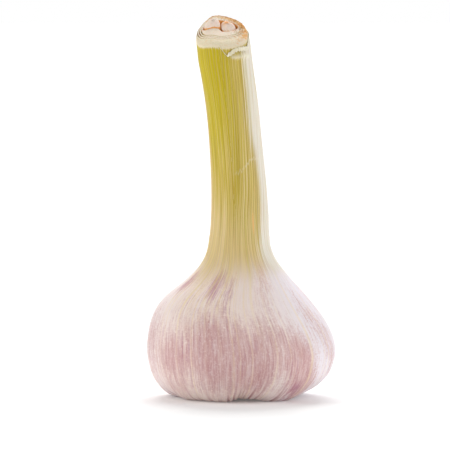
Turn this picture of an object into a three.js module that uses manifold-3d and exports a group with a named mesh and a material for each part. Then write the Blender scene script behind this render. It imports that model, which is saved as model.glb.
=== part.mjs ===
// A fresh garlic bulb with its trimmed stem, standing upright on its underside.
//
// Millimetres, +Z up. The origin is on the surface that the bulb stands on, under its middle.
// -Y is the front and +X the right. The stem leans to the left and is cut on a slant, so that
// the cut faces up and to the front.
//
// The stem is a nest of leaf sheaths, each one a tube of its own. The outermost leaf is the
// bulb's skin, and goes up the stem's right and back as a thin strip, so it is one piece with
// the bulb. Inside the stem are a thick green sheath, two thin ones, a pale fleshy one, and at
// its heart a rolled young leaf and the flower stalk. Below the bulb is the root plate.

import * as THREE from "three";
import { mergeVertices } from "three/addons/utils/BufferGeometryUtils.js";
import Module from "manifold-3d";

const wasm = await Module();
wasm.setup();

// ---------------------------------------------------------------- driving dimensions

const GAP = 0.3; // between pieces that touch
const RIM_RADIUS = { x: 19.6, y: 18.6 }; // outside of the flat ring that the bulb stands on
const FLAT_INNER = 12.4; // inside of that ring
const POCKET = { radius: 7.5, mouth: 1.5, top: 4.2 }; // for the root plate
const LOBES = { count: 5, first: THREE.MathUtils.degToRad(-52), depth: 0.055, top: 36 };

// The outline, from the ground to the cut: height of each section, the middle of the section,
// and its half width and half depth.
const OUTLINE = [
  { z: 0.0, x: -1.6, y: 0.0, width: RIM_RADIUS.x, depth: RIM_RADIUS.y },
  { z: 1.0, x: -1.4, y: 0.0, width: 22.5, depth: 21.4 },
  { z: 3.2, x: -0.8, y: -0.2, width: 25.6, depth: 24.4 },
  { z: 7.0, x: -0.2, y: -0.35, width: 28.5, depth: 27.2 },
  { z: 11.2, x: 0.05, y: -0.4, width: 29.9, depth: 28.5 },
  { z: 15.0, x: 0.05, y: -0.4, width: 30.4, depth: 29.0 },
  { z: 19.4, x: -0.4, y: -0.35, width: 29.6, depth: 28.3 },
  { z: 24.2, x: -1.2, y: -0.25, width: 27.8, depth: 26.8 },
  { z: 28.9, x: -2.0, y: -0.1, width: 25.0, depth: 24.2 },
  { z: 32.8, x: -1.9, y: 0.0, width: 21.8, depth: 21.2 },
  { z: 36.6, x: -1.1, y: 0.0, width: 17.8, depth: 17.3 },
  { z: 40.4, x: -0.5, y: 0.0, width: 14.2, depth: 13.6 },
  { z: 44.5, x: -0.6, y: 0.0, width: 11.3, depth: 10.6 },
  { z: 50.0, x: -0.8, y: 0.0, width: 9.5, depth: 8.8 },
  { z: 58.0, x: -0.8, y: -0.2, width: 8.7, depth: 8.0 },
  { z: 67.0, x: -1.1, y: -0.5, width: 8.4, depth: 7.6 },
  { z: 79.0, x: -2.0, y: -0.9, width: 8.1, depth: 7.2 },
  { z: 91.0, x: -3.1, y: -1.5, width: 8.0, depth: 7.0 },
  { z: 102.0, x: -4.4, y: -2.1, width: 8.1, depth: 7.0 },
  { z: 110.2, x: -5.5, y: -2.7, width: 8.3, depth: 7.1 },
  { z: 116.8, x: -6.2, y: -3.2, width: 8.1, depth: 7.0 },
];
const NECK = 13; // the section in OUTLINE where the bulb ends and the stem's tubes begin
const CUT = OUTLINE.length - 1; // the section in OUTLINE that the knife went through
const CUT_SLOPE = { x: -0.07, y: 0.63 }; // rise of the cut to the right and to the back
const CUT_FALL = { from: -3.2, slope: 0.62 }; // how the cut falls off to the left of a line
const SLANT_STARTS = 86; // height where the sections begin to lean over into the cut

// The nest of sheaths inside the stem, at the cut. Each oval is its middle and its half sizes,
// and keeps its place as the stem widens towards the bulb.
const GREEN_BORE = { x: -0.25, y: 1.3, width: 7.3, depth: 5.2 };
const THIN_OUTER = { x: -0.25, y: 1.3, width: 7.0, depth: 4.9 };
const THIN_OUTER_BORE = { x: -0.25, y: 1.3, width: 6.65, depth: 4.6 };
const THIN_INNER = { x: -0.25, y: 1.3, width: 6.35, depth: 4.3 };
const THIN_INNER_BORE = { x: -0.25, y: 1.3, width: 6.0, depth: 4.0 };
const PALE = { x: -0.25, y: 1.3, width: 5.7, depth: 3.7 };
const PALE_BORE = { x: -0.3, y: 2.15, width: 5.25, depth: 2.5 };
const LEAF_ROLL = { x: -2.6, y: 2.15, width: 2.3, depth: 1.85 };
const FLOWER_STALK = { x: 1.85, y: 2.05, width: 1.8, depth: 1.9 };

// The outermost sheath's strip up the stem.
const STRIP = {
  from: THREE.MathUtils.degToRad(-40),
  to: THREE.MathUtils.degToRad(150),
  thickness: 0.5,
  root: NECK - 0.8, // it grows out of the bulb a little below the neck
  rise: 0.4, // above the cut
};

const ROOT_PLATE = { radius: 7.1, bottomRadius: 6.2, bottom: 1.4, top: POCKET.top - GAP };
const ROOT_STUBS = { count: 19, radius: 0.45, sides: 5, lowest: 0.45, spread: 5.4 };

// How finely the surfaces are divided.
const SEGMENTS = {
  bulbRound: 60,
  bulbUp: 31,
  strip: 15,
  greenRound: 40,
  greenUp: 13,
  thinRound: 24,
  heartRound: 16,
  innerUp: 9,
  plateRound: 24,
};

// ---------------------------------------------------------------- sections of the body

const middles = new THREE.CatmullRomCurve3(
  OUTLINE.map((s) => new THREE.Vector3(s.x, s.y, s.z)), false, "catmullrom", 0.5,
);
const sizes = new THREE.CatmullRomCurve3(
  OUTLINE.map((s) => new THREE.Vector3(s.width, s.depth, 0)), false, "catmullrom", 0.5,
);

// The section at a place along OUTLINE, counted in sections from the ground.
function sectionAt(place) {
  const share = place / CUT;
  const middle = middles.getPoint(share);
  const size = sizes.getPoint(share);
  const slant = THREE.MathUtils.smoothstep(middle.z, SLANT_STARTS, OUTLINE[CUT].z);
  return { middle, width: size.x, depth: size.y, slant };
}

// How far the cloves push the skin out at an angle: 0 between two cloves and 1 over one.
function cloveBulge(angle) {
  const turn = (LOBES.count / 2) * (angle - LOBES.first);
  return Math.pow(Math.abs(Math.cos(turn)), 0.7);
}

// A point of a section, moved up into the slanted cut near the stem's end.
function pointIn(section, dx, dy, rise = 0) {
  const fall = CUT_FALL.slope * Math.max(CUT_FALL.from - dx, 0);
  const lift = section.slant * (CUT_SLOPE.x * dx + CUT_SLOPE.y * dy - fall + rise);
  return new THREE.Vector3(
    section.middle.x + dx, section.middle.y + dy, section.middle.z + lift,
  );
}

// Numbers spread evenly over a range, with both of its ends.
function spread(count, from, to) {
  return Array.from({ length: count }, (_, i) => from + ((to - from) * i) / (count - 1));
}

// Angles spread evenly over a full turn.
function turnOf(count) {
  return Array.from({ length: count }, (_, i) => (2 * Math.PI * i) / count);
}

// A loop of points on an oval of the nest, given at the cut and scaled to this section.
function ovalLoop(section, oval, angles, rise = 0) {
  const across = section.width / OUTLINE[CUT].width;
  const deep = section.depth / OUTLINE[CUT].depth;
  return angles.map((angle) =>
    pointIn(
      section,
      (oval.x + oval.width * Math.cos(angle)) * across,
      (oval.y + oval.depth * Math.sin(angle)) * deep,
      rise,
    ),
  );
}

// A loop of points round the stem's own outside, grown by an offset.
function outsideLoop(section, angles, offset = 0, rise = 0) {
  return angles.map((angle) =>
    pointIn(
      section,
      (section.width + offset) * Math.cos(angle),
      (section.depth + offset) * Math.sin(angle),
      rise,
    ),
  );
}

// ---------------------------------------------------------------- solids from loops

function geometryFrom(points, triangles) {
  const geometry = new THREE.BufferGeometry().setFromPoints(points);
  let volume = 0;
  for (let i = 0; i < triangles.length; i += 3) {
    const [a, b, c] = [0, 1, 2].map((k) => points[triangles[i + k]]);
    volume += a.dot(new THREE.Vector3().crossVectors(b, c)) / 6;
  }
  if (volume < 0) triangles.reverse();
  geometry.setIndex(triangles);
  geometry.computeVertexNormals();
  return geometry;
}

// Joins each loop to the next with a band of triangles.
function bands(loops, closeEnds) {
  const n = loops[0].length;
  const triangles = [];
  const last = closeEnds ? loops.length : loops.length - 1;
  for (let r = 0; r < last; r++) {
    const here = r * n;
    const above = ((r + 1) % loops.length) * n;
    for (let i = 0; i < n; i++) {
      const j = (i + 1) % n;
      triangles.push(here + i, here + j, above + j, here + i, above + j, above + i);
    }
  }
  return triangles;
}

// A solid through a stack of closed loops, with a fan over its first and its last loop.
function loft(loops) {
  const points = loops.flat();
  const n = loops[0].length;
  const triangles = bands(loops, false);
  const middleOf = (loop) =>
    loop.reduce((sum, p) => sum.add(p), new THREE.Vector3()).divideScalar(loop.length);
  const first = points.push(middleOf(loops[0])) - 1;
  const last = points.push(middleOf(loops.at(-1))) - 1;
  const top = (loops.length - 1) * n;
  for (let i = 0; i < n; i++) {
    const j = (i + 1) % n;
    triangles.push(first, j, i, last, top + i, top + j);
  }
  return geometryFrom(points, triangles);
}

// A tube: up the outside loops, over the rim, and down the inside loops.
function tube(outer, inner) {
  const loops = [...outer, ...inner.reverse()];
  return geometryFrom(loops.flat(), bands(loops, true));
}

// An open strip with a thickness, from an outer and an inner stack of open rows of points.
function strip(outer, inner) {
  const n = outer[0].length;
  const loops = outer.map((row, r) => [...row, ...[...inner[r]].reverse()]);
  const triangles = bands(loops, false);
  const top = (loops.length - 1) * 2 * n;
  for (let i = 0; i < n - 1; i++) {
    const across = 2 * n - 1 - i;
    triangles.push(i, across, i + 1, i + 1, across, across - 1);
    triangles.push(top + i, top + i + 1, top + across, top + i + 1, top + across - 1, top + across);
  }
  return geometryFrom(loops.flat(), triangles);
}

function toSolid(geometry) {
  const bare = geometry.clone();
  bare.deleteAttribute("normal");
  bare.deleteAttribute("uv");
  const merged = mergeVertices(bare, 1e-4);
  return new wasm.Manifold(
    new wasm.Mesh({
      numProp: 3,
      vertProperties: merged.attributes.position.array,
      triVerts: new Uint32Array(merged.index.array),
    }),
  );
}

function toGeometry(solid) {
  const mesh = solid.getMesh();
  const geometry = new THREE.BufferGeometry();
  const position = new THREE.BufferAttribute(new Float32Array(mesh.vertProperties), 3);
  geometry.setAttribute("position", position);
  geometry.setIndex(new THREE.BufferAttribute(mesh.triVerts, 1));
  geometry.computeVertexNormals();
  return geometry;
}

// ---------------------------------------------------------------- the pieces

// The bulb with its skin: from the root plate's pocket, out over the flat ring that it stands
// on, round the cloves and up to the neck.
function bulbBody() {
  const angles = turnOf(SEGMENTS.bulbRound);
  const ring = (radius, z) =>
    angles.map((angle) => new THREE.Vector3(
      OUTLINE[0].x + radius * Math.cos(angle), radius * Math.sin(angle), z,
    ));
  const skin = spread(SEGMENTS.bulbUp, 0, NECK).map((place) => {
    const section = sectionAt(place);
    const fade = 1 - THREE.MathUtils.smoothstep(section.middle.z, 4, LOBES.top);
    return angles.map((angle) => {
      const size = 1 + LOBES.depth * fade * (cloveBulge(angle) - 1);
      return pointIn(
        section,
        section.width * size * Math.cos(angle),
        section.depth * size * Math.sin(angle),
      );
    });
  });
  return loft([
    ring(POCKET.radius, POCKET.top),
    ring(POCKET.radius, POCKET.mouth),
    ring((POCKET.radius + FLAT_INNER) / 2, POCKET.mouth * 0.55),
    ring(FLAT_INNER, 0),
    ...skin,
  ]);
}

function outermostStrip() {
  const angles = spread(SEGMENTS.strip, STRIP.from, STRIP.to);
  const rows = spread(SEGMENTS.strip, STRIP.root, CUT).map((place) => {
    const section = sectionAt(place);
    const out = THREE.MathUtils.smoothstep(place, STRIP.root, NECK); // 0 where it is rooted
    const inside = THREE.MathUtils.lerp(-0.7, GAP, out);
    return {
      outer: outsideLoop(section, angles, inside + STRIP.thickness, STRIP.rise),
      inner: outsideLoop(section, angles, inside, STRIP.rise),
    };
  });
  return strip(rows.map((row) => row.outer), rows.map((row) => row.inner));
}

function bulb() {
  return toGeometry(toSolid(bulbBody()).add(toSolid(outermostStrip())));
}

// Sections of the stem's tubes, from just above the neck to the cut.
function stemSections(count) {
  const sections = spread(count, NECK, CUT).map(sectionAt);
  sections[0].middle.z += GAP;
  return sections;
}

function greenSheath() {
  const angles = turnOf(SEGMENTS.greenRound);
  const sections = stemSections(SEGMENTS.greenUp);
  return tube(
    sections.map((section) => outsideLoop(section, angles)),
    sections.map((section) => ovalLoop(section, GREEN_BORE, angles)),
  );
}

function innerSheath(outside, bore, rise) {
  const angles = turnOf(SEGMENTS.thinRound);
  const sections = stemSections(SEGMENTS.innerUp);
  return tube(
    sections.map((section) => ovalLoop(section, outside, angles, rise)),
    sections.map((section) => ovalLoop(section, bore, angles, rise)),
  );
}

function heart(oval, rise) {
  const angles = turnOf(SEGMENTS.heartRound);
  const sections = stemSections(SEGMENTS.innerUp);
  return loft(sections.map((section) => ovalLoop(section, oval, angles, rise)));
}

// The woody plate that the roots grew from, with their trimmed stubs.
function rootPlate() {
  const { radius, bottomRadius, bottom, top } = ROOT_PLATE;
  const profile = [
    new THREE.Vector2(0, bottom + 0.3),
    new THREE.Vector2(bottomRadius - 2, bottom),
    new THREE.Vector2(bottomRadius, bottom + 0.2),
    new THREE.Vector2(radius, bottom + 1.1),
    new THREE.Vector2(radius, top),
    new THREE.Vector2(0, top),
  ];
  let solid = toSolid(new THREE.LatheGeometry(profile, SEGMENTS.plateRound).rotateX(Math.PI / 2));
  if (solid.volume() < 0) throw new Error("the root plate is inside out");
  const golden = Math.PI * (3 - Math.sqrt(5));
  for (let i = 0; i < ROOT_STUBS.count; i++) {
    const out = ROOT_STUBS.spread * Math.sqrt((i + 0.5) / ROOT_STUBS.count);
    const low = ROOT_STUBS.lowest + 0.25 * (i % 3);
    const high = bottom + 1;
    const stub = new THREE.CylinderGeometry(
      ROOT_STUBS.radius, ROOT_STUBS.radius * 0.8, high - low, ROOT_STUBS.sides,
    );
    stub.rotateX(Math.PI / 2);
    stub.translate(out * Math.cos(i * golden), out * Math.sin(i * golden), (low + high) / 2);
    solid = solid.add(toSolid(stub));
  }
  return toGeometry(solid).translate(OUTLINE[0].x, 0, 0);
}

// ---------------------------------------------------------------- materials and assembly

function material(color, roughness) {
  return new THREE.MeshStandardMaterial({ color, roughness, metalness: 0 });
}

const SKIN = material(0xdcc0bb, 0.5);
const GREEN = material(0xbfa94e, 0.45);
const THIN = material(0xd9b98a, 0.6);
const PALE_FLESH = material(0xe8d5bd, 0.45);
const HEART = material(0xead2c0, 0.45);
const ROOT = material(0xb59a73, 0.9);

const garlic = new THREE.Group();

function add(name, geometry, surface) {
  const mesh = new THREE.Mesh(geometry, surface);
  mesh.name = name;
  garlic.add(mesh);
}

add("bulb", bulb(), SKIN);
add("root_plate", rootPlate(), ROOT);
add("green_sheath", greenSheath(), GREEN);
add("thin_sheath_outer", innerSheath(THIN_OUTER, THIN_OUTER_BORE, -0.1), THIN);
add("thin_sheath_inner", innerSheath(THIN_INNER, THIN_INNER_BORE, 0.1), THIN);
add("pale_sheath", innerSheath(PALE, PALE_BORE, 0.2), PALE_FLESH);
add("leaf_roll", heart(LEAF_ROLL, 0.6), HEART);
add("flower_stalk", heart(FLOWER_STALK, 0.5), HEART);

export default garlic;
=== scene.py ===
import math

import bpy
import numpy as np
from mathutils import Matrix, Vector


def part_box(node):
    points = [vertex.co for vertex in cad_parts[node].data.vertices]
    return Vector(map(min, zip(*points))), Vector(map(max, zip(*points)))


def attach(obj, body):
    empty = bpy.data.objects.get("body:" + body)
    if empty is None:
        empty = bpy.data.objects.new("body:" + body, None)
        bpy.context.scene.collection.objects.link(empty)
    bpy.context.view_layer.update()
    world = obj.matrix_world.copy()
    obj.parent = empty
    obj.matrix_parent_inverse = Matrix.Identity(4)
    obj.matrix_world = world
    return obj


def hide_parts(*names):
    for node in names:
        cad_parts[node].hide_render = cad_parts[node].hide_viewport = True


# A fresh garlic bulb with its trimmed stem, on a pale floor in soft light.
#
# Shapes are worked out in millimetres and turned into metres when a mesh is made. +Z is up, -Y
# the front and +X the right. An angle is measured from +X, so the front is at -90 degrees.
# "Along" is a place on a surface from below to above: it is the height on the stem, and goes on
# down over the bulb as the distance along the skin.

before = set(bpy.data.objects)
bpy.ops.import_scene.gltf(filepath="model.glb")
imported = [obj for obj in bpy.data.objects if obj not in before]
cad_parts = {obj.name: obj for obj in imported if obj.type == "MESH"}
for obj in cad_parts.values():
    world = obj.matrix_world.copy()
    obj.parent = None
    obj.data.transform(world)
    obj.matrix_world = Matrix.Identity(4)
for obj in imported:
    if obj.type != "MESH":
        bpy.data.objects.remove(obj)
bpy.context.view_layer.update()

MM = 0.001
TURN = 2 * math.pi
WHITE = (1.0, 1.0, 1.0, 1.0)

# ---------------- named values, in mm and degrees

NECK = 50.0  # height where the bulb's skin ends and the stem's own sheaths begin
BULB_HEIGHTS = (
    0.02, 0.4, 1, 2, 3.2, 5, 7, 9, 11.2, 13.1, 15, 17.2, 19.4, 21.8, 24.2, 26.5,
    28.9, 30.8, 32.8, 34.7, 36.6, 38.5, 40.4, 42.4, 44.5,
)  # where the bulb's outline is measured on its CAD node
STEM_HEIGHTS = (51, 54, 58, 62.5, 67, 73, 79, 85, 91, 96.5, 102, 107, 111)

# The skin inside the flat ring: share of the ring's size, height.
UNDERSIDE = ((0.37, 2.7), (0.43, 2.2), (0.52, 1.5), (0.64, 0.7), (0.78, 0.15), (0.9, 0.02))
POCKET = ((0.96, 3.2), (0.94, 4.1))  # where it lines the pocket: share of its inner edge, height
POCKET_TOP = 4.2
LOBES = {"count": 5, "first": -52, "bottom": 0.05, "middle": 0.02, "lift": 1.3}
SKIN_LIP = 1.6  # how far the bulb's skin goes up over the stem
LIP_INSIDE = (0.985, 0.97)  # shares of the lip's size where it turns in and down to the neck

VEINS = 62
PLEATS = 60
VEIN_HEIGHT = {"bulb": 0.07, "stem": 0.075}
PLEAT_HEIGHT = {"bottom": 0.5, "shoulder": 0.07}

CUT_FALL = {"from": -9.4, "slope": 0.62, "soft": 0.8}  # the cut falls off to the left of this x
# How thick the green sheath is, and how far its bore is moved to the left.
GREEN_WALL = {"back": 0.5, "front": 3.1, "side": 0.8, "left": 0.25}
THIN_WALL = 0.33
# Where the heart's bore lies in the pale sheath, how much smaller it is, and the share of its
# depth that is left at the left front.
PALE_BORE = {"x": -0.05, "y": 0.85, "narrower": 0.4, "shallower": 1.2, "left_front": 0.45}
HEART_SWELL = 0.6  # how far the leaf roll and the flower stalk grow past their CAD ovals
HEART_EDGE = 0.35  # how far their rims are rounded down
HEART_GAP = 0.02  # round the leaf roll and the flower stalk
HEART_DIVIDE = -0.12  # between the two, from the stem's middle
SHEATHS_FROM = NECK + 0.3  # height where the sheaths begin
CUT_SEARCH = 115.0  # height where the search for the cut begins
RAG_TURN = {"thin_leaf": 22, "pale_flesh": 16}  # radians that a slot's torn rims are turned by
TWIST = math.radians(0.35)  # how far the outermost leaf's fibres turn in each mm
LEAF = {"low": 43.0, "top": 112.0, "crease": 108.7}  # heights on the outermost leaf
# The film over the stem's front and the white strip beside it: how far they stand off the stem,
# how thick they are, and the angles where the strip begins, the film begins and the strip ends.
FILM = {"offset": 0.07, "thickness": 0.06, "angle": -44, "left": -86}
STRIP = {"offset": 0.5, "thickness": 0.42, "right": 150}
# The torn top edge of the outermost leaf: angle, drop below the cut, and how far it hangs over.
TORN_EDGE = (
    (-112, 0.2, 0.03), (-101, 0.3, 0.03), (-92, 1.8, 0.04), (-85, 3.2, 0.06), (-80, 2.7, 0.75),
    (-72, 1.9, 1.05), (-62, 1.4, 1.05), (-50, 1.5, 1.0), (-40, 1.9, 0.95), (-31, 2.3, 0.8),
    (-24, 1.6, 0.3), (-16, 1.0, 0.05), (0, 0.85, 0.04), (20, 1.1, 0.04), (60, 1.5, 0.04),
    (160, 2.2, 0.04),
)
# The small tear line halfway up the stem: angle, height.
MID_TEAR = (
    (-110, 71.2), (-97, 71.5), (-80, 72.6), (-66, 74.6), (-58, 75.8), (-44, 76.2), (-20, 76.6),
)
STUBS = {"count": 64, "spread": 0.86, "length": (0.7, 1.45), "radius": (0.26, 0.42), "lean": 0.35}

# Patches of colour on the skin: angle, height, half width in degrees, half height, strength.
PINK_PATCHES = (
    (-133, 15, 14, 7, 0.65), (-111, 17, 12, 10, 0.6), (-92, 15, 13, 9, 0.65),
    (-57, 14.5, 10, 7, 0.55), (-100, 27, 13, 5, 0.15), (-74, 10, 10, 6, 0.35),
    (-44, 5, 13, 4.5, 0.5), (-66, 21, 10, 5, 0.25), (42, 15, 18, 8, 0.5),
    (-47, 13, 12, 8, 0.4), (-74, 15, 12, 7, 0.2),
    (75, 16, 16, 9, 0.6), (112, 14, 18, 8, 0.6), (158, 15, 16, 8, 0.45),
)
PURPLE_PATCHES = (
    (-152, 37.5, 10, 4.5, 1), (-114, 37, 9, 6, 1), (-97, 35, 6, 6, 0.6),
    (-50, 4.5, 9, 3, 0.8), (-128, 17, 10, 6, 0.4), (-84, 15, 14, 7, 0.3),
    (-55, 14, 8, 6, 0.4), (40, 30, 14, 7, 0.55), (105, 22, 16, 9, 0.55),
    (160, 26, 12, 8, 0.5),
)
RUST_PATCHES = (
    (-60, 56, 3, 5, 0.9), (-57, 66, 2.5, 3.5, 0.5), (-88, 97, 2.5, 3, 0.3),
    (70, 84, 3, 5, 0.6), (190, 61, 3, 4, 0.5),
)

VIEW = {"elevation": 4.0, "lens": 400.0, "sensor": 36.0, "width": 143.2}
VIEW_CENTRE = (-5.25, 0.0, 54.8)  # what the camera looks at
SURROUND = 0.5  # strength of the even light from all round
FLOOR_GLOW = 0.07
LAMP_SPREAD = 42  # degrees across
# Soft lamps: degrees round from the front, degrees above the floor, strength.
LAMPS = {"back": (180, 43, 2.15), "right": (77, 24, 0.84), "left": (-80, 24, 0.9)}


# ---------------- measuring the CAD model


def slice_box(node, height):
    """Middle and half size along x and y of a CAD node's cross-section at a height."""
    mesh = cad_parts[node].data
    points = np.empty(len(mesh.vertices) * 3)
    mesh.vertices.foreach_get("co", points)
    points = points.reshape(-1, 3) / MM
    edges = np.empty(len(mesh.edges) * 2, dtype=np.int32)
    mesh.edges.foreach_get("vertices", edges)
    start, end = points[edges[::2]], points[edges[1::2]]
    crosses = (start[:, 2] - height) * (end[:, 2] - height) < 0
    start, end = start[crosses], end[crosses]
    share = (height - start[:, 2]) / (end[:, 2] - start[:, 2])
    cut = start + share[:, None] * (end - start)
    low, high = cut.min(axis=0), cut.max(axis=0)
    middle, half = (low + high) / 2, (high - low) / 2
    return (*middle[:2], *half[:2])


def smooth(places, values, at):
    """Values on a smooth curve through the given ones, going straight on past its ends."""
    places, values = np.asarray(places, float), np.asarray(values, float)
    at = np.asarray(at, float)
    slopes = np.gradient(values, places, axis=0)
    i = np.clip(np.searchsorted(places, at) - 1, 0, len(places) - 2)
    span = places[i + 1] - places[i]
    past = np.where(at < places[0], at - places[0], np.maximum(at - places[-1], 0))
    t = np.clip((at - places[i]) / span, 0, 1)
    if values.ndim > 1:
        t, span, past = t[..., None], span[..., None], past[..., None]
    curve = (
        (2 * t**3 - 3 * t**2 + 1) * values[i]
        + (t**3 - 2 * t**2 + t) * span * slopes[i]
        + (3 * t**2 - 2 * t**3) * values[i + 1]
        + (t**3 - t**2) * span * slopes[i + 1]
    )
    end_slope = np.where(past < 0, slopes[0], slopes[-1])
    return curve + past * end_slope


def run_of(node):
    """A CAD node's cross-sections along the stem, as a function of the height."""
    sections = [slice_box(node, height) for height in STEM_HEIGHTS]
    return lambda height: smooth(STEM_HEIGHTS, sections, height)


def knife_plane():
    """The cut as z = a + b x + c y, from the top faces of the green sheath."""
    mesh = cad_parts["green_sheath"].data
    top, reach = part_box("green_sheath")[1].z, 13 * MM
    facing_up = 0.6
    rows = [
        mesh.vertices[v].co / MM
        for face in mesh.polygons
        if face.normal.z > facing_up and face.center.z > top - reach
        for v in face.vertices
    ]
    points = np.array([row for row in rows if row[0] > CUT_FALL["from"]])
    sides = np.column_stack([np.ones(len(points)), points[:, :2]])
    return np.linalg.lstsq(sides, points[:, 2], rcond=None)[0]


stem_run = run_of("green_sheath")
run_of_pale = run_of("pale_sheath")
CUT = knife_plane()


def cut_height(x, y):
    """Height of the cut over a point."""
    past = CUT_FALL["from"] - x
    fall = CUT_FALL["slope"] * (past + np.sqrt(past**2 + CUT_FALL["soft"] ** 2)) / 2
    return CUT[0] + CUT[1] * x + CUT[2] * y - fall


# ---------------- natural variation


def waves(seed, around, along, count=16):
    """A smooth random field over a turn and a length, about -1 to 1."""
    rng = np.random.default_rng(seed)
    turns = rng.integers(around[0], around[1] + 1, count)
    rises = rng.uniform(*along, count) * rng.choice([-1, 1], count)
    phases = rng.uniform(0, TURN, count)
    weights = rng.uniform(0.4, 1, count)
    weights /= 1.6 * math.sqrt((weights**2).sum() / 2)

    def field(theta, place):
        total = np.zeros(np.broadcast(theta, place).shape)
        for turn, rise, phase, weight in zip(turns, rises, phases, weights):
            total += weight * np.cos(turn * theta + rise * place + phase)
        return total

    return field


vein_wander = waves(1, (2, 13), (0.0, 0.05))
vein_strength = waves(2, (10, 50), (0.0, 0.06), 24)
pleat_wander = waves(3, (2, 9), (0.0, 0.05))
pleat_strength = waves(4, (4, 22), (0.02, 0.12))
body_lumps = waves(5, (3, 9), (0.03, 0.14))
stem_lumps = waves(6, (2, 6), (0.03, 0.12))
blush_clouds = waves(7, (2, 12), (0.04, 0.2), 24)
edge_rags = waves(8, (0, 0), (0.4, 3.0), 24)
rim_rags = waves(9, (5, 60), (0, 0), 30)
nest_wobble = waves(10, (2, 6), (0.01, 0.05))
face_grain = waves(11, (9, 60), (1.0, 9.0), 30)


def round_about(count):
    """Directions evenly round a whole turn."""
    return np.linspace(0, TURN, count, endpoint=False)


def step(low, high, value):
    """0 below the low value, 1 above the high one, and smooth between them."""
    t = np.clip((value - low) / (high - low), 0, 1)
    return t * t * (3 - 2 * t)


def near(value, middle, half):
    """1 at the middle, falling smoothly to 0 well past the half width."""
    return np.exp(-(((value - middle) / half) ** 2))


def degrees_from(theta, middle):
    """Angle from a middle direction, in degrees, from -180 to 180."""
    return (np.degrees(theta) - middle + 180) % 360 - 180


def towards(theta, middle, half):
    """1 in a direction, falling smoothly to 0 well past the half width, both in degrees."""
    return near(degrees_from(theta, middle), 0, half)


def vein(theta, along):
    """How much of a vein there is: 0 between two of them and 1 on a strong one."""
    phase = VEINS * theta + 2.6 * vein_wander(theta, along)
    sharpness = 13 - 10 * step(40, 58, along)
    ridge = (0.5 + 0.5 * np.cos(phase)) ** sharpness
    base = 0.35 + 0.27 * step(40, 58, along)
    return ridge * np.clip(base + 0.6 * vein_strength(theta, along), 0.03, 1)


def pleat(theta, along):
    """0 in the groove between two pleats of the skin and 1 on top of one."""
    return np.abs(np.sin(PLEATS / 2 * theta + 1.3 * pleat_wander(theta, along))) ** 0.7


def gather(theta, along, share):
    """A share of the pleats' height, which is greatest where the skin is drawn in."""
    bottom = step(6, -16, along) * PLEAT_HEIGHT["bottom"]
    shoulder = near(along, 34, 12) * PLEAT_HEIGHT["shoulder"]
    strength = np.clip(0.7 + 0.5 * pleat_strength(theta, along), 0.15, 1.3)
    return (bottom + shoulder) * strength * share


def relief(theta, along):
    """Height of the skin's own surface over the smooth body: its veins, pleats and lumps."""
    on_bulb = 1 - step(38, 56, along)
    vein_height = VEIN_HEIGHT["stem"] + on_bulb * (VEIN_HEIGHT["bulb"] - VEIN_HEIGHT["stem"])
    lumps = 0.28 * on_bulb * body_lumps(theta, along)
    pleats = gather(theta, along, pleat(theta, along) - 0.6)
    return vein_height * vein(theta, along) + pleats + lumps


# ---------------- meshes from grids of points


def points_at(x, y, z):
    """Points in one array, from coordinates that are spread over the same grid."""
    return np.stack(np.broadcast_arrays(x, y, z), axis=-1)


def grid_faces(rows, cols, wrap_rows=False, wrap_cols=True):
    """Quads of a grid whose columns go round to the left and whose rows go up."""
    row = np.arange(rows if wrap_rows else rows - 1)[:, None]
    col = np.arange(cols if wrap_cols else cols - 1)
    above, beside = (row + 1) % rows, (col + 1) % cols
    corners = (row * cols + col, row * cols + beside, above * cols + beside, above * cols + col)
    return np.stack(np.broadcast_arrays(*corners), axis=-1).reshape(-1, 4)


def normals_of(grid, wrap_cols=True):
    """Outward normals of a grid of points, by the differences between its neighbours."""
    up = np.gradient(grid, axis=0)
    if wrap_cols:
        across = np.roll(grid, -1, axis=1) - np.roll(grid, 1, axis=1)
    else:
        across = np.gradient(grid, axis=1)
    normal = np.cross(across, up)
    length = np.linalg.norm(normal, axis=-1, keepdims=True)
    return normal / np.maximum(length, 1e-9)


def add_object(name, data):
    """A new object in the scene."""
    thing = bpy.data.objects.new(name, data)
    bpy.context.scene.collection.objects.link(thing)
    return thing


def make_piece(name, points, faces, fields, material, node):
    """A smooth mesh that stands for a CAD node, from points in mm, with fields as attributes."""
    mesh = bpy.data.meshes.new(name)
    points = np.asarray(points).reshape(-1, 3)
    mesh.from_pydata((points * MM).tolist(), [], [list(face) for face in faces])
    mesh.validate()
    for field, values in fields.items():
        values = np.asarray(values, dtype=np.float32)
        one_each = values.size == len(points)
        kind, key = ("FLOAT", "value") if one_each else ("FLOAT_VECTOR", "vector")
        mesh.attributes.new(field, kind, "POINT").data.foreach_set(key, values.ravel())
    mesh.shade_smooth()
    mesh.set_sharp_from_angle(angle=math.radians(60))
    mesh.materials.append(material)
    piece = add_object(name, mesh)
    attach(piece, "root")
    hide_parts(node)
    return piece


def with_poles(grid, fields, low, high):
    """Points, faces and fields of a grid closed by a fan over its first and its last row."""
    rows, cols = grid.shape[:2]
    points = np.vstack([grid.reshape(-1, 3), [low, high]])
    faces = grid_faces(rows, cols).tolist()
    first, last, top = rows * cols, rows * cols + 1, (rows - 1) * cols
    for i in range(cols):
        j = (i + 1) % cols
        faces.append([first, j, i])
        faces.append([last, top + i, top + j])
    closed = {}
    for name, values in fields.items():
        flat = np.asarray(values, float).reshape(rows * cols, -1)
        closed[name] = np.vstack([flat, flat[:cols].mean(axis=0), flat[-cols:].mean(axis=0)])
    return points, faces, closed


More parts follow.
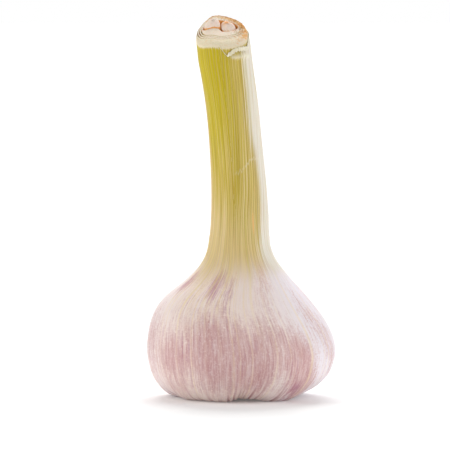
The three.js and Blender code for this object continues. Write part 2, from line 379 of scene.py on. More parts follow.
def sheet(grid, thickness, fields):
    """Points, faces and fields of a thin sheet around an open grid of points."""
    rows, cols = grid.shape[:2]
    normal = normals_of(grid, wrap_cols=False)
    half = np.broadcast_to(thickness, (rows, cols))[..., None] / 2
    front, back = grid + normal * half, grid - normal * half
    points = np.vstack([front.reshape(-1, 3), back.reshape(-1, 3)])
    outside = grid_faces(rows, cols, wrap_cols=False)
    size = rows * cols
    faces = outside.tolist() + (outside[:, ::-1] + size).tolist()
    index = np.arange(size).reshape(rows, cols)
    border = np.concatenate([index[0], index[1:, -1], index[-1, -2::-1], index[-2:0:-1, 0]])
    after = np.roll(border, -1)
    faces += np.stack([after, border, border + size, after + size], axis=-1).tolist()
    doubled = {}
    for name, values in fields.items():
        flat = np.asarray(values, float).reshape(size, -1)
        doubled[name] = np.concatenate([flat, flat])
    return points, faces, doubled


def grain_of(theta, along):
    """Where the material's grain is read: round a 20 mm circle and along the plant."""
    radius = 20.0
    return points_at(radius * np.cos(theta), radius * np.sin(theta), along)


# ---------------- fields of colour on the skin


def patches(theta, height, table):
    """Soft patches from a table of them, added up."""
    return sum(
        strength * towards(theta, angle, width) * near(height, level, tall)
        for angle, level, width, tall, strength in table
    )


def skin_fields(theta, along, height):
    """Where the skin is veined, pink, purple, green, white and so on, from 0 to about 1."""
    left, degrees = degrees_from(theta, 180), degrees_from(theta, 0)
    clouds = blush_clouds(theta, along)
    band = step(-1, 6, height) * (1 - step(20, 36, height))
    band = band * (1 - 0.85 * near(degrees, 0, 32)) * (1 - 0.6 * near(left, 2, 20))
    pink = 0.1 + 0.3 * band + patches(theta, height, PINK_PATCHES) + 0.19 * clouds
    purple = patches(theta, height, PURPLE_PATCHES) + (1 - step(0.2, 3.0, height)) * 0.4
    shoulder_green = near(left, 42, 34) * 8.0 + near(left, 96, 24) * 4.5
    green = step(34 - shoulder_green, 49, along)
    # The strip's left edge wanders on its way up.
    white_from = FILM["angle"] + 9 * (1 - step(72, 112, along)) - 10 * near(along, 86, 11)
    white_from = white_from - 12 * near(along, 46, 9)
    white = step(-24, 16, degrees_from(theta, white_from)) * (1 - step(140, 165, degrees))
    vivid = step(56, 102, height) * (0.3 + 0.7 * towards(theta, 200, 58))
    pearl = step(-88, -20, degrees) * (1 - step(60, 140, degrees))
    fields = {
        "vein": vein(theta, along),
        "pink": np.clip(pink, 0, 1),
        "purple": np.clip(purple, 0, 1),
        "green": green,
        "vivid": vivid,
        "film": step(-96, -66, degrees) * step(48, 60, along),
        "white": white * step(-75, -60, degrees) * step(32, 46, along),
        "pearl": np.maximum(pearl, 0.5 * near(left, 0, 30)),
        "fade": 1 - step(38, 76, along) + 0.5 * near(left, 30, 35) * near(along, 50, 14),
        # groove: painted shade, darker where the grooves between the pleats gather near the bottom.
        "groove": gather(theta, along, 1 - pleat(theta, along)) * (1 - step(-3, 9, along)),
        "rust": patches(theta, height, RUST_PATCHES),
        "gold": near(left, 60, 36) * near(along, 34, 12),
        "warm_edge": near(left, 3, 13) * step(44, 60, along) * (1 - step(92, 108, along)),
    }
    shape = np.broadcast(theta, along).shape
    fields = {name: np.broadcast_to(values, shape) for name, values in fields.items()}
    return {"grain": grain_of(theta, along), **fields}


# ---------------- materials


def rgb(red, green, blue):
    """A colour given as it looks, 0 to 255, in the linear values that a shader takes."""
    values = [v / 255 for v in (red, green, blue)]
    linear = [v / 12.92 if v <= 0.04045 else ((v + 0.055) / 1.055) ** 2.4 for v in values]
    return (*linear, 1.0)


class Nodes:
    """A material's node tree, built by short calls that give back the output."""

    def __init__(self, name, **shader_values):
        self.material = bpy.data.materials.new(name)
        self.material.use_nodes = True
        self.tree = self.material.node_tree
        self.shader = self.tree.nodes["Principled BSDF"]
        for socket, value in shader_values.items():
            self.shader.inputs[socket.replace("_", " ")].default_value = value

    def add(self, kind, inputs, output=0, **settings):
        node = self.tree.nodes.new("ShaderNode" + kind)
        for setting, value in settings.items():
            setattr(node, setting, value)
        for socket, value in inputs.items():
            self.put(node.inputs[socket], value)
        return node.outputs[output]

    def put(self, socket, value):
        if isinstance(value, bpy.types.NodeSocket):
            self.tree.links.new(value, socket)
        else:
            socket.default_value = value

    def field(self, name):
        return self.add("Attribute", {}, "Fac", attribute_name=name)

    def noise(self, stretch, detail=4.0, offset=0.0):
        """Noise that is stretched along the grain, by its scale round and along the plant."""
        grain = self.add("Attribute", {}, "Vector", attribute_name="grain")
        scale = (stretch[0], stretch[0], stretch[1])
        place = self.add("Mapping", {"Vector": grain, "Scale": scale, "Location": (offset,) * 3})
        values = {"Vector": place, "Scale": 1.0, "Detail": detail, "Roughness": 0.55}
        return self.add("TexNoise", values)

    def times(self, a, b):
        return self.add("Math", {0: a, 1: b}, operation="MULTIPLY")

    def plus(self, a, b):
        return self.add("Math", {0: a, 1: b}, operation="ADD")

    def varied(self, value, *noises):
        """A value that noises move up and down, each by its own amount."""
        for noise, amount in noises:
            value = self.plus(value, self.times(self.plus(noise, -0.5), amount))
        return value

    def step(self, value, low, high, to_low=0.0, to_high=1.0):
        sockets = {
            "Value": value, "From Min": low, "From Max": high, "To Min": to_low, "To Max": to_high,
        }
        return self.add("MapRange", sockets, interpolation_type="SMOOTHSTEP")

    def mix(self, share, a, b):
        return self.add("Mix", {0: share, 6: a, 7: b}, 2, data_type="RGBA")

    def over(self, base, paint, value, low, high, share=1.0):
        """A colour painted over from where a value is low to where it is high, up to a share."""
        return self.mix(self.step(value, low, high, to_high=share), base, paint)

    def bump(self, height, distance, strength):
        sockets = {"Height": height, "Distance": distance * MM, "Strength": strength}
        return self.add("Bump", sockets)

    def finish(self, colour, **sockets):
        for socket, value in {"Base Color": colour, **sockets}.items():
            self.put(self.shader.inputs[socket], value)
        return self.material


CREAM = rgb(238, 220, 211)
PEARL = rgb(237, 230, 237)
BLUSH = rgb(204, 162, 160)
ROSE = rgb(184, 134, 138)
MAUVE = rgb(176, 108, 134)
# Painted shade for the grooves between the pleats.
GROOVE_SHADE = rgb(182, 130, 134)
BLOOM = rgb(246, 236, 234)
MILK = rgb(240, 230, 230)
VEIN = rgb(242, 222, 188)
GOLD = rgb(228, 202, 112)
MOSS = rgb(178, 152, 34)
STRAW = rgb(202, 178, 66)
LIME = rgb(190, 170, 0)
OLIVE = rgb(146, 124, 20)
LEMON = rgb(212, 194, 60)
THREAD = rgb(200, 184, 84)
SAND = rgb(228, 202, 158)
HONEY = rgb(232, 200, 156)
TAN = rgb(192, 164, 106)
PITH = rgb(230, 210, 146)
IVORY = rgb(236, 230, 218)
BONE = rgb(212, 204, 168)
ASH = rgb(200, 190, 182)
PAPER = rgb(238, 230, 208)
FLESH = rgb(230, 216, 182)
WARM_FLESH = rgb(242, 220, 204)
FIBRE = rgb(248, 240, 224)
THIN_LEAF = rgb(206, 180, 104)
PALE_LEAF = rgb(220, 200, 140)
LEAF_FIBRE = rgb(190, 164, 84)
ORANGE = rgb(240, 166, 86)
DRIED = rgb(238, 182, 114)
BARK = rgb(196, 126, 58)
ROOT = rgb(176, 146, 104)
ROOT_PALE = rgb(222, 204, 170)
ROOT_DARK = rgb(126, 94, 58)
ROOT_TIP = rgb(98, 70, 42)


def skin_material(name):
    """Satin leaf skin: cream with pink streaks, pale veins and painted shade in the pleats'
    grooves, green and white up the stem.
    """
    n = Nodes(name, Specular_IOR_Level=0.12, Subsurface_Weight=0.04, Subsurface_Scale=0.6 * MM)
    broad = n.noise((0.75, 0.035), detail=3.0)
    streaks = n.noise((1.8, 0.03), offset=3.0)
    thin = n.noise((3.8, 0.05), offset=7.0)
    mottle = n.noise((1.7, 0.4), detail=5.0, offset=11.0)
    weave = n.noise((3.2, 1.5), offset=15.0)
    cross = n.noise((1.1, 3.4), offset=19.0)
    marks = n.noise((2.9, 0.13), offset=23.0)

    pink = n.varied(
        n.field("pink"), (streaks, 0.65), (marks, 0.6), (mottle, 1.2), (weave, 1.0), (cross, 0.7),
    )
    pale = n.mix(n.field("pearl"), CREAM, PEARL)
    colour = n.over(pale, BLUSH, pink, 0.05, 0.95)
    deep = n.times(n.step(marks, 0.48, 0.64), n.step(pink, 0.3, 0.9))
    colour = n.mix(n.times(deep, 0.45), colour, ROSE)
    # Painted shade: a darker rose in the grooves between the pleats near the bottom.
    colour = n.over(colour, GROOVE_SHADE, n.field("groove"), 0.02, 0.3, 0.75)
    bruise = n.varied(n.field("purple"), (marks, 1.5), (mottle, 1.0), (weave, 0.8))
    colour = n.over(colour, MAUVE, bruise, 0.25, 1.0, 0.75)
    colour = n.mix(n.times(n.field("vein"), 0.6), colour, VEIN)
    golden_vein = n.plus(n.field("vein"), n.step(thin, 0.5, 0.6, to_high=0.6))
    golden_vein = n.times(golden_vein, n.field("gold"))
    colour = n.mix(n.times(golden_vein, 0.7), colour, GOLD)
    colour = n.over(colour, BLOOM, marks, 0.5, 0.36, 0.22)
    colour = n.over(colour, MILK, mottle, 0.45, 0.75, 0.3)
    colour = n.over(colour, BLOOM, weave, 0.5, 0.68, 0.3)

    stem = n.over(MOSS, STRAW, streaks, 0.4, 0.6)
    vivid = n.varied(n.field("vivid"), (broad, 0.9))
    stem = n.over(stem, LIME, vivid, 0.1, 0.8)
    stem = n.mix(n.times(n.field("film"), 0.3), stem, TAN)
    stripe = n.over(PITH, LEMON, vivid, 0.1, 0.7)
    stem = n.over(stem, stripe, streaks, 0.52, 0.6, 0.5)
    stem = n.over(stem, OLIVE, streaks, 0.48, 0.4, 0.3)
    stem = n.mix(n.times(n.field("vein"), 0.45), stem, stripe)
    fade = n.varied(n.field("fade"), (streaks, 2.2))
    stem = n.over(stem, SAND, fade, 0.05, 1.1, 0.62)
    threads = n.times(n.field("vein"), n.step(n.field("fade"), 0.1, 0.5))
    stem = n.mix(n.times(threads, 0.6), stem, THREAD)
    stem = n.over(stem, DRIED, n.varied(n.field("rust"), (thin, 1.5)), 0.3, 1.0)
    warm = n.times(n.field("warm_edge"), n.step(streaks, 0.35, 0.6, 0.5, 0.9))
    stem = n.mix(warm, stem, HONEY)
    green = n.varied(n.field("green"), (broad, 0.6), (streaks, 0.7))
    colour = n.over(colour, stem, green, 0.0, 1.1)

    white = n.varied(n.field("white"), (streaks, 2.2))
    ivory = n.over(IVORY, BONE, broad, 0.4, 0.75, 0.4)
    ivory = n.over(ivory, ASH, thin, 0.42, 0.7, 0.35)
    ivory = n.mix(n.times(n.field("vein"), n.step(broad, 0.42, 0.6, to_high=0.4)), ivory, STRAW)
    colour = n.over(colour, ivory, white, 0.2, 0.9, 0.95)
    colour = n.mix(n.field("tear"), colour, PAPER)
    rim = n.varied(n.field("cut"), (streaks, 1.3))
    colour = n.mix(n.step(rim, 0.1, 0.9), colour, cut_colour(n))

    height = n.plus(thin, n.times(mottle, 0.4))
    roughness = n.step(thin, 0.3, 0.7, 0.4, 0.56)
    return n.finish(colour, Roughness=roughness, Normal=n.bump(height, 0.05, 0.5))


def cut_colour(n):
    """Cut flesh: pale and fibrous, warm towards the heart and brown where it has dried."""
    grains = n.noise((3.0, 1.5), detail=5.0, offset=5.0)
    flesh = n.mix(n.field("warm"), FLESH, WARM_FLESH)
    flesh = n.over(flesh, FIBRE, grains, 0.35, 0.75, 0.4)
    blots = n.noise((1.2, 1.2), offset=9.0)
    dry = n.varied(n.field("dry"), (blots, 1.9))
    flesh = n.over(flesh, DRIED, dry, 0.15, 0.75)
    flesh = n.over(flesh, BARK, dry, 0.75, 1.1)
    return n.mix(n.field("orange"), flesh, ORANGE)


def sheath_material(name, wall):
    """A sheath inside the stem: its wall's own colour, and cut flesh on top."""
    n = Nodes(name, Specular_IOR_Level=0.35, Subsurface_Weight=0.08, Subsurface_Scale=0.8 * MM)
    fibres = n.noise((2.6, 0.06))
    grains = n.noise((5.0, 4.0), offset=2.0)
    side = n.over(wall, LEAF_FIBRE, fibres, 0.3, 0.7)
    side = n.mix(n.field("orange"), side, ORANGE)
    colour = n.mix(n.field("cut"), side, cut_colour(n))
    roughness = n.step(grains, 0.3, 0.7, 0.42, 0.62)
    bump = n.bump(n.plus(fibres, grains), 0.08, 0.6)
    return n.finish(colour, Roughness=roughness, Normal=bump)


def root_material(name):
    """Dry, fibrous wood of the root plate."""
    n = Nodes(name, Specular_IOR_Level=0.2)
    fibres = n.noise((1.8, 1.2), detail=6.0)
    pores = n.noise((6.0, 6.0), detail=3.0, offset=4.0)
    colour = n.over(ROOT, ROOT_DARK, fibres, 0.3, 0.7)
    colour = n.over(colour, ROOT_PALE, pores, 0.55, 0.75, 0.5)
    colour = n.mix(n.times(n.field("tip"), 0.7), colour, ROOT_TIP)
    bump = n.bump(n.plus(fibres, pores), 0.3, 0.9)
    return n.finish(colour, Roughness=0.85, Normal=bump)


def floor_material(name):
    """A plain white floor with a faint tooth."""
    n = Nodes(name, Roughness=0.9, Specular_IOR_Level=0.1, Emission_Strength=FLOOR_GLOW)
    n.shader.inputs["Emission Color"].default_value = WHITE
    place = n.add("TexCoord", {}, "Object")
    tooth = n.add("TexNoise", {"Vector": place, "Scale": 60.0, "Detail": 2.0})
    darker, lighter = ((shade, shade, shade, 1) for shade in (0.93, 0.95))
    return n.finish(n.over(darker, lighter, tooth, 0.3, 0.7))


# ---------------- the bulb and its skin


def bulb_outline():
    """Places along the skin from below to above, and at each the middle, half size and height."""
    ring = slice_box("bulb", BULB_HEIGHTS[0])
    inside = [(ring[0], ring[1], ring[2] * share, ring[3] * share, z) for share, z in UNDERSIDE]
    sides = [(*slice_box("bulb", z), z) for z in BULB_HEIGHTS]
    stem = [(*stem_run(z), z) for z in STEM_HEIGHTS[:2]]
    outline = np.array(inside + sides + stem)
    steps = np.hypot(np.diff(outline[:, 2]), np.diff(outline[:, 4]))
    along = np.concatenate([[0], np.cumsum(steps)])
    round_neck = slice(-6, None)
    along += NECK - np.interp(NECK, outline[round_neck, 4], along[round_neck])
    return along, outline


def lobe(theta):
    """0 between two cloves and 1 over the middle of one."""
    turn = LOBES["count"] / 2 * (theta - math.radians(LOBES["first"]))
    return np.abs(np.cos(turn)) ** 0.8


def bulb_skin():
    """The whole bulb: from the root plate's pocket, out over its flat spots and up to the neck."""
    columns, rows = 600, 138
    places, outline = bulb_outline()
    top = NECK + SKIN_LIP
    share = np.linspace(0, 1, rows)
    along = places[0] + (top - places[0]) * share
    theta = round_about(columns)[None, :]
    section = smooth(places, outline, along)[:, None, :]
    height = section[..., 4]
    over = lobe(theta)
    depth = LOBES["middle"] + (LOBES["bottom"] - LOBES["middle"]) * near(height, 0, 6)
    depth = depth * (1 - step(8, 34, height))
    ring_width = outline[len(UNDERSIDE), 2]
    size = 1 - depth * (1 - over) * step(0.36, 0.9, section[..., 2] / ring_width)
    z = height + LOBES["lift"] * (1 - over) ** 1.3 * near(height, 0, 5.0)
    along = along[:, None]
    grid = points_at(
        section[..., 0] + section[..., 2] * size * np.cos(theta),
        section[..., 1] + section[..., 3] * size * np.sin(theta),
        z,
    )
    fold = relief(theta, along) + 0.05 * step(NECK - 1, NECK + 0.6, along)
    inner_edge = step(0, 0.05, share)[:, None]
    grid = grid + normals_of(grid) * (fold * inner_edge)[..., None]
    grid[..., 2] = np.maximum(grid[..., 2], 0)

    pocket = [ring_from(grid[0], scale, z) for scale, z in POCKET]
    centre = grid[-1].mean(axis=0)
    inside = [centre + (grid[-1] - centre) * scale for scale in LIP_INSIDE]
    inside[1][:, 2] = NECK
    full = np.concatenate([pocket[::-1], grid, inside])
    extra = np.pad(along, ((len(pocket), len(inside)), (0, 0)), mode="edge")
    fields = skin_fields(theta, extra, full[..., 2])
    low_pole = (*full[0].mean(axis=0)[:2], POCKET_TOP)
    high_pole = (*full[-1].mean(axis=0)[:2], NECK)
    points, faces, fields = with_poles(full, fields, low_pole, high_pole)
    return make_piece("bulb_skin", points, faces, fields, SKIN, "bulb")


def ring_from(loop, scale, height):
    """A loop of points drawn in towards its middle, at a height."""
    middle = loop.mean(axis=0)
    moved = middle + (loop - middle) * scale
    moved[:, 2] = height
    return moved


# ---------------- the stem


def oval(run, theta, height, grow):
    """Points of an oval whose middle and half sizes come from a run of sections."""
    section = run(height)
    wide, deep = section[..., 2] + grow, section[..., 3] + grow
    x, y = section[..., 0] + wide * np.cos(theta), section[..., 1] + deep * np.sin(theta)
    return points_at(x, y, height)


def up_to_cut(wall, theta, rise):
    """Heights where a wall meets the knife's cut."""
    height = np.full(theta.shape, CUT_SEARCH)
    for _ in range(8):
        point = wall(theta, height)
        height = cut_height(point[..., 0], point[..., 1]) + rise
    return height


def stem_wall(theta, height):
    """The smooth outside of the stem."""
    lumps = 0.14 * stem_lumps(theta, height) * step(50, 60, height)
    return oval(stem_run, theta, height, lumps)


def sheath(outer, inner, rise, columns, rows, edges, roughen):
    """A closed tube from its outer wall, over its cut rim, and down its inner wall.

    The edges are how far the rim is rounded down at the outer and at the inner wall.

    Gives the directions, the grid, and for each of its rows whether it is on the cut face, 0 or
    1, and how far across the wall it is.
    """
    low, theta = SHEATHS_FROM, round_about(columns)
    outer_top, inner_top = (up_to_cut(wall, theta, rise) for wall in (outer, inner))
    face_rows = 14
    rings = []
    for t in np.linspace(0, 1, rows):
        rings.append((outer(theta, low + (outer_top - edges[0] - low) * t), 0.0, 0.0))
    start, end = outer(theta, outer_top), inner(theta, inner_top)
    for t in np.linspace(0, 1, face_rows + 2)[1:-1]:
        row = start + (end - start) * t
        crown = -edges[0] * (1 - t) ** 5 - edges[1] * t**9
        row[:, 2] = cut_height(row[:, 0], row[:, 1]) + rise + crown + roughen(theta, t)
        rings.append((row, 1.0, t))
    for t in np.linspace(1, 0, rows // 2):
        rings.append((inner(theta, low + (inner_top - edges[1] - low) * t), 0.0, 1.0))
    grid, on_face, across = (np.array(part) for part in zip(*rings))
    return theta, grid, on_face[:, None], across[:, None]


def green_bore(theta, height):
    """The inside of the green sheath: thick at the front, thin at the back."""
    section = stem_run(height)
    wide = section[..., 2] - GREEN_WALL["side"]
    deep = section[..., 3] - (GREEN_WALL["front"] + GREEN_WALL["back"]) / 2
    shift = (GREEN_WALL["front"] - GREEN_WALL["back"]) / 2
    wobble = 0.1 * nest_wobble(theta, height)
    x = section[..., 0] - GREEN_WALL["left"] + (wide + wobble) * np.cos(theta)
    y = section[..., 1] + shift + (deep + wobble) * np.sin(theta)
    return points_at(x, y, height)


def pale_bore(theta, height):
    """The inside of the pale sheath, which holds the heart: its front wall is thick."""
    section = run_of_pale(height)
    wide = section[..., 2] - PALE_BORE["narrower"]
    deep = section[..., 3] - PALE_BORE["shallower"]
    left = step(0.5, -0.9, section[..., 2] * np.cos(theta))
    front = 1 - (1 - PALE_BORE["left_front"]) * left * (np.sin(theta) < 0)
    x = section[..., 0] + PALE_BORE["x"] + wide * np.cos(theta)
    y = section[..., 1] + PALE_BORE["y"] + deep * front * np.sin(theta)
    return points_at(x, y, height)


def green_sheath():
    """The thick green leaf sheath whose cut wall is the pale lip at the front."""
    theta, grid, on_face, across = sheath(
        stem_wall, green_bore, rise=0.0, columns=380, rows=110, edges=(0.9, 0.05),
        roughen=lambda theta, t: 0.10 * face_grain(theta, 9 * t) * math.sin(math.pi * t),
    )
    height = grid[..., 2]
    outside = (across == 0) & (on_face == 0)
    below = cut_height(grid[..., 0], grid[..., 1]) - height
    fold = np.where(outside, relief(theta, height), 0) * step(0, 1.2, below)
    grid = grid + normals_of(grid) * fold[..., None]
    fields = skin_fields(theta, height, height)
    fields["white"] = np.zeros(height.shape)  # the white leaf is a piece of its own
    fields["cut"] = np.maximum(on_face, 1 - step(0.5, 2.1, below))
    fields["warm"] = 0.35 * towards(theta, -20, 50) * on_face
    dry_side = towards(theta, -5, 48)
    rim_back = towards(theta, 75, 62)
    fields["dry"] = on_face * np.maximum(dry_side * (0.42 + 0.42 * across), 1.0 * rim_back)
    fields["grain"] = np.where(on_face[..., None] > 0, grid, fields["grain"])
    faces = grid_faces(*grid.shape[:2], wrap_rows=True)
    return make_piece("green_sheath_wall", grid, faces, fields, GREEN, "green_sheath")


def slit(theta):
    """How far the nested sheaths stand apart: open on the left, nearly closed elsewhere."""
    left = towards(theta, 190, 26)
    right = towards(theta, 5, 40)
    return 0.27 * left + 0.08 * right - 0.01


def nested(node, material, slot, rise, dry, orange, bore=None):
    """One of the sheaths inside the green one, grown a little so that it nearly fills its gap."""
    run = run_of(node)

    def outer(theta, height):
        return oval(run, theta, height, 0.28 - slit(theta) + 0.1 * nest_wobble(theta, height))

    def inner(theta, height):
        return oval(run, theta, height, 0.1 * nest_wobble(theta, height) - THIN_WALL)

    def ragged(theta, t):
        torn = 0.4 * towards(theta, 15, 50) * rim_rags(theta + RAG_TURN[slot], 0)
        return torn + 0.03 * face_grain(theta, 9 * t)

    theta, grid, on_face, across = sheath(
        outer, bore or inner, rise, columns=300, rows=60, edges=(0.05, 0.05), roughen=ragged,
    )
    shape = grid.shape[:2]
    below = cut_height(grid[..., 0], grid[..., 1]) - grid[..., 2]
    inside = (across == 1) & (on_face == 0)
    fields = {
        "grain": np.where(on_face[..., None] > 0, grid, grain_of(theta, grid[..., 2])),
        "cut": np.broadcast_to(on_face, shape),
        "warm": np.full(shape, 0.6),
        "dry": dry * towards(theta, 35, 75) * np.ones_like(on_face),
        "orange": orange * inside * (1 - step(3.0, 6.0, below)),
    }
    faces = grid_faces(*shape, wrap_rows=True)
    return make_piece(node + "_wall", grid, faces, fields, material, node)


def packed(theta, height, run, side):
    """How far a heart piece's oval can reach before it meets the bore or its neighbour."""
    section, bore, stem = run(height), run_of_pale(height), stem_run(height)
    x, y = section[..., 0], section[..., 1]
    reach_x = (section[..., 2] + HEART_SWELL) * np.cos(theta)
    reach_y = (section[..., 3] + HEART_SWELL) * np.sin(theta)
    wide = bore[..., 2] - PALE_BORE["narrower"] - HEART_GAP
    deep = bore[..., 3] - PALE_BORE["shallower"] - HEART_GAP
    deep = np.where((reach_y < 0) & (side < 0), deep * PALE_BORE["left_front"], deep)
    from_x, from_y = x - bore[..., 0] - PALE_BORE["x"], y - bore[..., 1] - PALE_BORE["y"]
    a = (reach_x / wide) ** 2 + (reach_y / deep) ** 2
    b = reach_x * from_x / wide**2 + reach_y * from_y / deep**2
    c = (from_x / wide) ** 2 + (from_y / deep) ** 2 - 1
    to_bore = (np.sqrt(b * b - a * c) - b) / a
    divide = stem[..., 0] + HEART_DIVIDE + side * HEART_GAP - x
    far = 9  # a reach that leads away from the divide meets nothing
    sharp = 7.0  # how square the corners between the two limits are
    to_divide = divide / np.where(reach_x * side < 0, reach_x, divide / far)
    share = (1 + to_bore**-sharp + to_divide**-sharp) ** (-1 / sharp)
    return points_at(x + reach_x * share, y + reach_y * share, height)


def heart(node, side, rise, dome, groove, blush):
    """A solid piece at the stem's heart, with a domed top and the marks of its own layers."""
    run = run_of(node)
    columns, rows, face_rows = 200, 60, 34
    theta = round_about(columns)

    def wall(theta, height):
        height = np.broadcast_to(height, theta.shape)
        return packed(theta, height, run, side)

    low, top, edge = SHEATHS_FROM, up_to_cut(wall, theta, rise), HEART_EDGE
    grid = [wall(theta, low + (top - edge - low) * t) for t in np.linspace(0, 1, rows)]
    out = [1.0] * rows
    rim = wall(theta, top)
    middle = rim.mean(axis=0)
    for t in np.linspace(1, 0.03, face_rows):
        row = middle + (rim - middle) * t
        rings = groove * np.cos(3.4 * TURN * t + 0.6 * np.sin(theta + 1)) * (1 - t**8)
        crown = rise + dome * (1 - t**2.5) - edge * t**8 + 0.04 * face_grain(theta, 9 * t)
        row[:, 2] = cut_height(row[:, 0], row[:, 1]) + crown + rings
        grid.append(row)
        out.append(t)
    grid, out = np.array(grid), np.array(out)[:, None]
    on_face = (np.arange(len(grid)) >= rows)[:, None]
    fields = {
        "grain": grid,
        "cut": np.broadcast_to(on_face, grid.shape[:2]) * 1.0,
        "warm": np.full(grid.shape[:2], 1.0),
        "orange": np.maximum(
            blush * near(theta, math.radians(120), 1.4) * near(out, 0.3, 0.45),
            ~on_face * (1 - step(3.0, 6.0, top - grid[..., 2])),
        ),
        "dry": 0.3 * np.broadcast_to(near(out, 1.0, 0.12), grid.shape[:2]),
    }
    low_pole, high_pole = grid[0].mean(axis=0), grid[-1].mean(axis=0)
    points, faces, fields = with_poles(grid, fields, low_pole, high_pole)
    return make_piece(node + "_tip", points, faces, fields, PALE, node)


# ---------------- the outermost leaf on the stem


def outer_leaf():
    """The strip and thin film of the outermost leaf, with its torn edge folded over at the top."""
    columns, rows, fold_rows = 300, 120, 16
    low = LEAF["low"]
    u = np.linspace(0, 1, columns)[None, :]
    share = np.linspace(0, 1, rows)[:, None] ** 0.92
    guess = low + (LEAF["top"] - low) * share
    left = FILM["left"] - 13 + 1.6 * edge_rags(0.0, guess)
    right = STRIP["right"] + 2.0 * edge_rags(0.0, guess + 300)
    theta = np.radians(left + (right - left) * u)
    angles, drops, hangs = np.array(TORN_EDGE).T
    degrees = degrees_from(theta[-1], 0)
    drop = smooth(angles, drops, degrees) + 0.14 * rim_rags(theta[-1], 0)
    hang = np.maximum(smooth(angles, hangs, degrees), 0.04) * (1 + 0.2 * rim_rags(theta[-1] + 1, 0))
    top = up_to_cut(stem_wall, theta[-1], 0.0) - drop
    height = low + (top - low) * share
    grown = step(-54, -12, degrees_from(theta, 0)) * step(46, 60, height)
    pressed = grown * (1 - 0.95 * step(92, 108, height))
    offset = FILM["offset"] + (STRIP["offset"] - FILM["offset"]) * pressed
    offset = offset - 0.16 * (1 - step(low, 47.5, height))
    thickness = FILM["thickness"] + (STRIP["thickness"] - FILM["thickness"]) * grown
    thickness = thickness * (0.35 + 0.65 * step(0, 2.5, top - height))

    body = stem_wall(theta, height)
    normal = normals_of(body, wrap_cols=False)
    above = height - (LEAF["crease"] + 0.25 * np.sin(theta * 7))
    crease = 0.5 * step(-0.9, 0.0, above) * (1 - step(0.0, 1.5, above))
    crease = crease * step(-84, -74, degrees) * (1 - step(-36, -22, degrees))
    tear_angles, tear_heights = np.array(MID_TEAR).T
    tear_line = np.interp(degrees_from(theta, 0), tear_angles, tear_heights)
    tear_line = tear_line + 0.35 * rim_rags(theta, 0)
    tear = near(height, tear_line, 0.25) * step(-100, -90, degrees) * (1 - step(-40, -25, degrees))
    second_film = 0.05 * step(0.0, 0.25, tear_line - height) * (1 - grown)
    twisted = theta - TWIST * (height - 54) * step(54, 66, height)
    ripples = 0.05 * vein(twisted, height) * step(52, 60, height)
    lift = relief(theta, height) + offset + crease + second_film + 0.08 * tear + ripples
    grid = body + normal * lift[..., None]

    edge, out = grid[-1], normal[-1]
    up = np.array([0, 0, 1.0])
    radius = 0.08 + 0.2 * np.minimum(hang, 1)
    fold = []
    for t in np.linspace(0, 1, fold_rows // 2)[1:]:
        turn = math.pi * 1.05 * t
        aside, rise = radius * (1 - math.cos(turn)), radius * math.sin(turn)
        fold.append(edge + out * aside[:, None] + up * rise[:, None])
    rolled = fold[-1]
    flare = 0.22 * np.sin(theta[-1] * 9) + 0.1
    for t in np.linspace(0, 1, fold_rows // 2 + 1)[1:]:
        away = flare * t * np.minimum(hang, 1)
        fold.append(rolled - up * (hang * t)[:, None] + out * away[:, None])
    grid = np.concatenate([grid, fold])
    extra = len(fold)

    def stretched(values):
        values = np.broadcast_to(values, (rows, columns))
        return np.concatenate([values, np.repeat(values[-1:], extra, axis=0)])

    free_edge = (1 - step(0.1, 0.4, top - height)) * (1 - step(-84, -78, degrees))
    theta, height, thickness = stretched(theta), stretched(height), stretched(thickness)
    thickness[rows:] = np.minimum(thickness[rows:], 0.14)
    fields = skin_fields(stretched(twisted), height, height)
    untwisted = skin_fields(theta, height, height)
    for name in ("white", "film", "vivid", "green", "warm_edge"):
        fields[name] = untwisted[name]
    folded = np.zeros(grid.shape[:2])
    folded[rows:] = 1.0
    worn = 0.4 * stretched(tear) + 0.8 * folded + 1.2 * stretched(crease)
    worn = worn + 0.7 * stretched(free_edge)
    fields["tear"] = np.clip(worn, 0, 1)
    points, faces, fields = sheet(grid, thickness, fields)
    return make_piece("outer_leaf", points, faces, fields, SKIN, "bulb")


# ---------------- the root plate


def root_stub(rng, root, length, radius, lean):
    """Points and faces of one trimmed root: a short, bent, tapering stub with a rough end."""
    sides, rings = 9, 6
    angles = round_about(sides)
    rows = []
    for t in np.linspace(0, 1, rings):
        middle = root + np.array([lean[0] * t * t, lean[1] * t * t, -length * t])
        size = radius * (1.25 - 0.45 * t) * (1 + 0.12 * rng.uniform(-1, 1, sides))
        rows.append(middle + points_at(size * np.cos(-angles), size * np.sin(-angles), 0.0))
    rows[-1][:, 2] += rng.uniform(-0.12, 0.12, sides)
    return with_poles(np.array(rows), {}, rows[0].mean(axis=0), rows[-1].mean(axis=0))[:2]


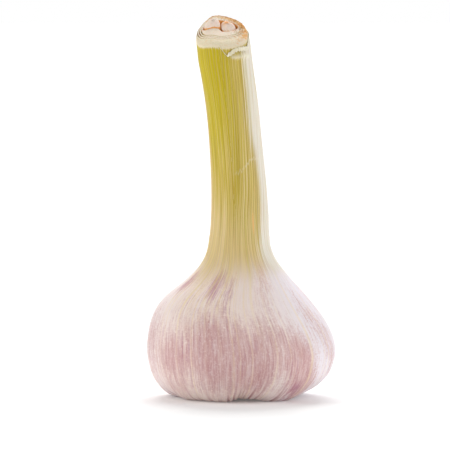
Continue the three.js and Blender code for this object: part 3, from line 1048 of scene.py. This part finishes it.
def root_plate():
    """The woody plate under the bulb with the stubs of its trimmed roots."""
    low, high = (np.array(corner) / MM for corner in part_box("root_plate"))
    middle = (low + high) / 2
    radius = (high[0] - low[0]) / 2
    columns = 140
    theta = round_about(columns)
    rough = waves(21, (3, 40), (0.5, 4.0), 40)
    rows = []
    for t in np.linspace(0.04, 1, 40):
        bulge = low[2] + 0.95 + 0.9 * t**3 + 0.16 * rough(theta, 6 * t)
        size = radius * t * (0.97 + 0.02 * rough(theta, 2.0))
        rows.append(points_at(size * np.cos(-theta), size * np.sin(-theta), bulge))
    edge, top = rows[-1], high[2] - 0.05
    for t in (0.3, 0.65, 1.0):
        row = edge.copy()
        row[:, 2] = row[:, 2] + (top - row[:, 2]) * t
        rows.append(row)
    grid = np.array(rows) + [middle[0], middle[1], 0]
    points, faces, _ = with_poles(grid, {}, grid[0].mean(axis=0), grid[-1].mean(axis=0))
    tips = [np.zeros(len(points))]
    parts = [points]
    rng = np.random.default_rng(22)
    stubs, sway = STUBS["count"], STUBS["lean"]
    golden = math.pi * (3 - math.sqrt(5))
    for i in range(stubs):
        out = STUBS["spread"] * radius * math.sqrt((i + 0.6) / stubs)
        place = middle + np.array([out * math.cos(i * golden), out * math.sin(i * golden), 0])
        place[2] = low[2] + 1.5
        length, thick = rng.uniform(*STUBS["length"]), rng.uniform(*STUBS["radius"])
        lean = rng.uniform(-sway, sway, 2)
        stub, stub_faces = root_stub(rng, place, length, thick, lean)
        start = sum(len(part) for part in parts)
        faces += [[start + v for v in face] for face in stub_faces]
        parts.append(stub)
        tips.append(step(0.35, 1.0, (place[2] - stub[:, 2]) / length))
    points = np.vstack(parts)
    fields = {"grain": points, "tip": np.concatenate(tips)}
    return make_piece("root_plate_wood", points, faces, fields, WOOD, "root_plate")


# ---------------- floor, light and camera


def plain_floor():
    """A floor that goes on past the view, in metres."""
    size = 4.0
    mesh = bpy.data.meshes.new("floor")
    corners = [(-size, -size, 0), (size, -size, 0), (size, size, 0), (-size, size, 0)]
    mesh.from_pydata(corners, [], [(0, 1, 2, 3)])
    mesh.materials.append(floor_material("floor_white"))
    floor = add_object("floor", mesh)


def soft_light(name, turn, height, strength):
    """Wide, even light from a direction: degrees round from the front, and above the floor."""
    lamp = bpy.data.lights.new(name, "SUN")
    lamp.angle = math.radians(LAMP_SPREAD)
    lamp.energy = strength
    light = add_object(name, lamp)
    turn, height = math.radians(turn), math.radians(height)
    flat = math.cos(height)
    source = Vector((flat * math.sin(turn), -flat * math.cos(turn), math.sin(height)))
    light.rotation_euler = source.to_track_quat("Z", "Y").to_euler()


def studio():
    """A white surround that gives a softer, even light, and the lamps."""
    scene = bpy.context.scene
    scene.view_settings.view_transform = "Standard"
    scene.view_settings.look = "None"
    world = bpy.data.worlds.new("white_studio")
    world.use_nodes = True
    tree = world.node_tree
    surround = tree.nodes["Background"]
    surround.inputs["Color"].default_value = WHITE
    surround.inputs["Strength"].default_value = SURROUND
    backdrop = tree.nodes.new("ShaderNodeBackground")
    seen = tree.nodes.new("ShaderNodeLightPath")
    either = tree.nodes.new("ShaderNodeMixShader")
    tree.links.new(seen.outputs["Is Camera Ray"], either.inputs[0])
    tree.links.new(surround.outputs[0], either.inputs[1])
    tree.links.new(backdrop.outputs[0], either.inputs[2])
    tree.links.new(either.outputs[0], tree.nodes["World Output"].inputs["Surface"])
    backdrop.inputs["Color"].default_value = WHITE
    scene.world = world
    for name, lamp in LAMPS.items():
        soft_light(name, *lamp)


def camera():
    """A long lens in front, a little above level."""
    data = bpy.data.cameras.new("camera")
    data.lens = VIEW["lens"]
    data.sensor_width = VIEW["sensor"]
    data.clip_end = 100.0
    away = VIEW["width"] * MM * VIEW["lens"] / VIEW["sensor"]
    tilt = math.radians(VIEW["elevation"])
    aim = Vector(VIEW_CENTRE) * MM
    back = Vector((0, -math.cos(tilt), math.sin(tilt)))
    eye = add_object("camera", data)
    eye.location = aim + back * away
    eye.rotation_euler = (-back).to_track_quat("-Z", "Y").to_euler()
    bpy.context.scene.camera = eye


# ---------------- the whole plant

SKIN = skin_material("garlic_skin")
GREEN = skin_material("green_leaf")
THIN = sheath_material("thin_leaf", THIN_LEAF)
PALE = sheath_material("pale_flesh", PALE_LEAF)
WOOD = root_material("root_wood")

bulb_skin()
outer_leaf()
green_sheath()
nested("thin_sheath_outer", THIN, "thin_leaf", rise=-0.05, dry=0.8, orange=0.5)
nested("thin_sheath_inner", THIN, "thin_leaf", rise=0.0, dry=0.6, orange=0.5)
nested("pale_sheath", PALE, "pale_flesh", rise=0.05, dry=0.25, orange=0.9, bore=pale_bore)
heart("leaf_roll", side=-1, rise=0.7, dome=0.85, groove=0.06, blush=0.0)
heart("flower_stalk", side=1, rise=0.1, dome=0.8, groove=0.0, blush=1.0)
root_plate()
plain_floor()
studio()
camera()
